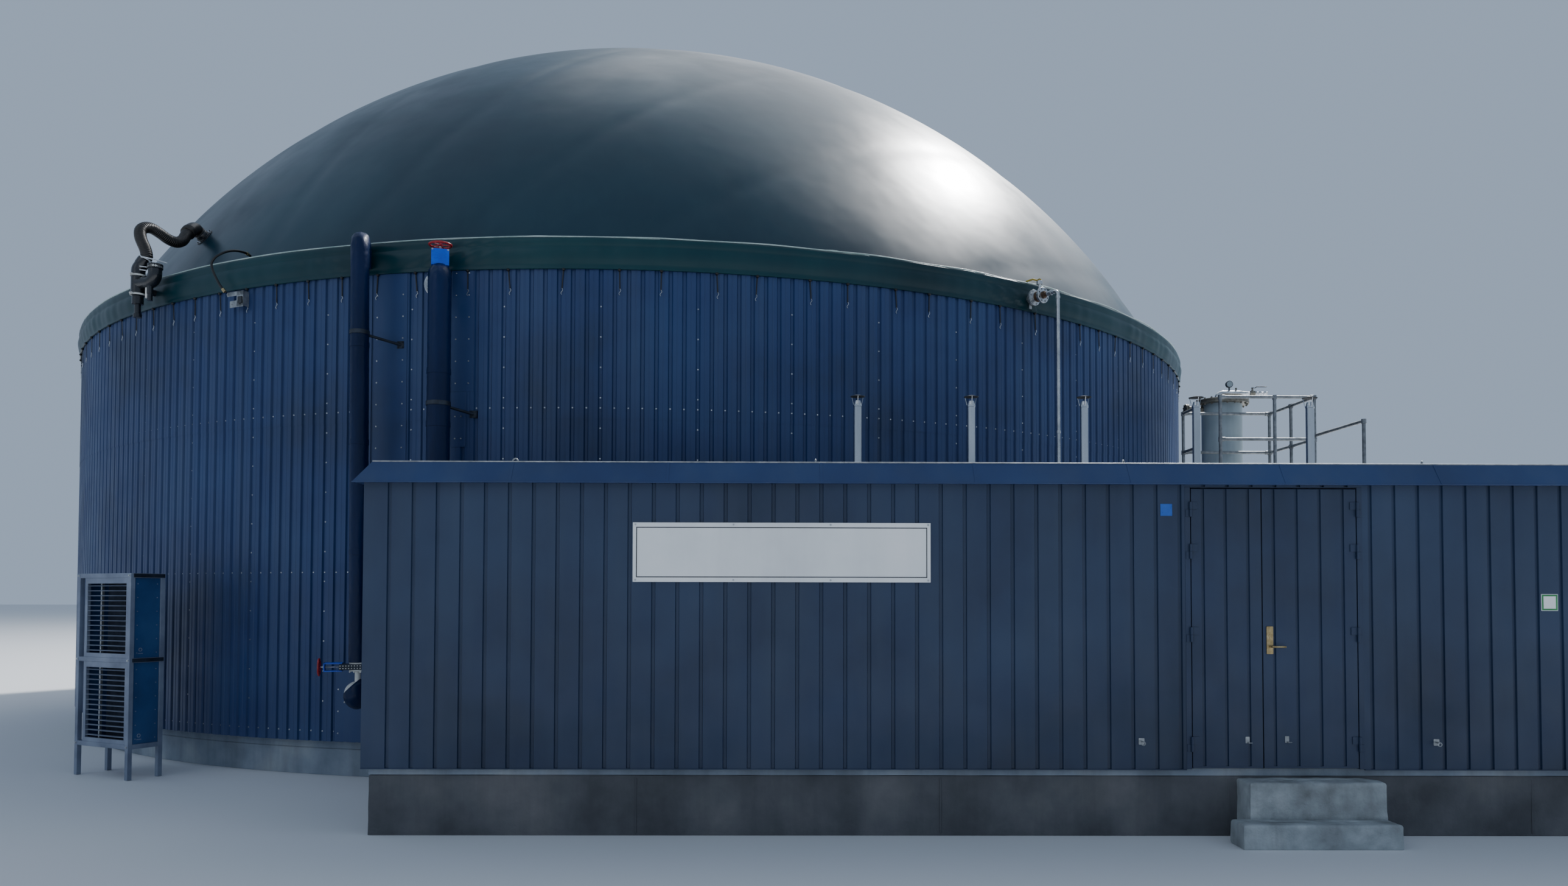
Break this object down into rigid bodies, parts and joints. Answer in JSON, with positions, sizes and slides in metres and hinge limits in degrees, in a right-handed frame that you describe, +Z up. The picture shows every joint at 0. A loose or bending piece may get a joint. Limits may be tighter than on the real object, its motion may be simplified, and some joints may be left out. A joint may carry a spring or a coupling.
{
  "type": "biogas digester with technical house",
  "caption": "Insulated round concrete digester with a membrane gas dome, a container technical house, risers, valves, a filter vessel and a cooler.",
  "frame": {"origin": "the tank's axis at ground level, on the underside of the tank's floor slab", "axes": "+X along the front of the technical house to its right end, +Y from that front towards the tank, +Z up"},
  "size_m": [20.641, 22.1, 11.54],
  "materials": {
    "concrete": "cast, matt",
    "cladding_sheet": "coated sheet, satin",
    "house_panel": "coated sheet, satin",
    "membrane": "coated fabric, glossy",
    "sign_white": "smooth",
    "brass": "worn",
    "stainless": "satin",
    "galvanised": "galvanised",
    "pipe_jacket": "insulation jacket, weathered",
    "valve_blue": "gloss paint",
    "wheel_red": "gloss paint",
    "lever_yellow": "plastic coated",
    "black_plastic": "satin",
    "black_rubber": "corrugated"
  },
  "bodies": {
    "plant": {"tank_floor": "concrete", "tank_wall_1": "concrete", "tank_wall_2": "concrete", "tank_wall_3": "concrete", "tank_wall_4": "concrete", "cladding_1": "cladding_sheet", "cladding_2": "cladding_sheet", "cladding_3": "cladding_sheet", "cladding_4": "cladding_sheet", "membrane_skirt": "membrane", "gas_dome": "membrane", "house_plinth": "concrete", "house_floor": "concrete", "front_wall_left": "house_panel", "front_wall_right": "house_panel", "front_wall_over_door": "house_panel", "back_wall": "house_panel", "end_wall_left": "house_panel", "end_wall_right": "house_panel", "house_roof": "house_panel", "roof_fascia": "house_panel", "sign_board": "sign_white", "door_frame": "house_panel", "step_upper": "concrete", "step_lower": "concrete", "roof_vent_1": "stainless", "roof_vent_2": "stainless", "roof_vent_3": "stainless", "roof_vent_4": "stainless", "roof_vent_5": "stainless", "riser_left": "pipe_jacket", "riser_right": "pipe_jacket", "riser_bracket_left": "galvanised", "riser_bracket_right": "galvanised", "low_elbow": "pipe_jacket", "low_valve": "valve_blue", "top_valve_yoke": "valve_blue", "relief_valve": "black_plastic", "dome_port": "black_plastic", "air_hose": "black_rubber", "gas_valve": "stainless", "gas_pipe": "galvanised", "sensor_bracket": "galvanised", "sensor_hose": "black_rubber", "filter_vessel": "galvanised", "vessel_lid": "galvanised", "platform_rails": "galvanised", "platform_deck": "galvanised", "cooler_frame": "galvanised", "cooler_unit_lower": "house_panel", "cooler_unit_upper": "house_panel"},
    "narrow_leaf": {"door_leaf_narrow": "house_panel"},
    "wide_leaf": {"door_leaf_wide": "house_panel"},
    "lever_handle": {"door_lever": "brass"},
    "low_wheel": {"low_handwheel": "wheel_red"},
    "top_wheel": {"top_handwheel": "wheel_red"},
    "gas_lever": {"gas_valve_lever": "lever_yellow"},
    "vessel_lever": {"vessel_valve_lever": "lever_yellow"}
  },
  "joints": [
    {"name": "narrow_leaf_swing", "type": "hinge", "parent": "plant", "child": "narrow_leaf", "pos_m": [5.73, -12.101, 1.7], "axis": [0, 0, -1], "range_deg": [0, 110]},
    {"name": "wide_leaf_swing", "type": "hinge", "parent": "plant", "child": "wide_leaf", "pos_m": [7.13, -12.101, 1.7], "axis": [0, 0, 1], "range_deg": [0, 110]},
    {"name": "door_lever_turn", "type": "hinge", "parent": "wide_leaf", "child": "lever_handle", "pos_m": [6.39, -12.1, 1.579], "axis": [0, 1, 0], "range_deg": [0, 45]},
    {"name": "low_wheel_turn", "type": "hinge", "parent": "plant", "child": "low_wheel", "pos_m": [-2.5124, -9.7279, 1.243], "axis": [0.9588, 0.284, 0], "continuous": true},
    {"name": "top_wheel_turn", "type": "hinge", "parent": "plant", "child": "top_wheel", "pos_m": [-1.3301, -9.6249, 5.734], "axis": [0, 0, 1], "continuous": true},
    {"name": "gas_lever_turn", "type": "hinge", "parent": "plant", "child": "gas_lever", "pos_m": [5.4673, -8.0148, 5.86], "axis": [0, 0, 1], "range_deg": [0, 90]},
    {"name": "vessel_lever_turn", "type": "hinge", "parent": "plant", "child": "vessel_lever", "pos_m": [9.168, -5.5, 5.0354], "axis": [0, 0, 1], "range_deg": [0, 90]}
  ]
}
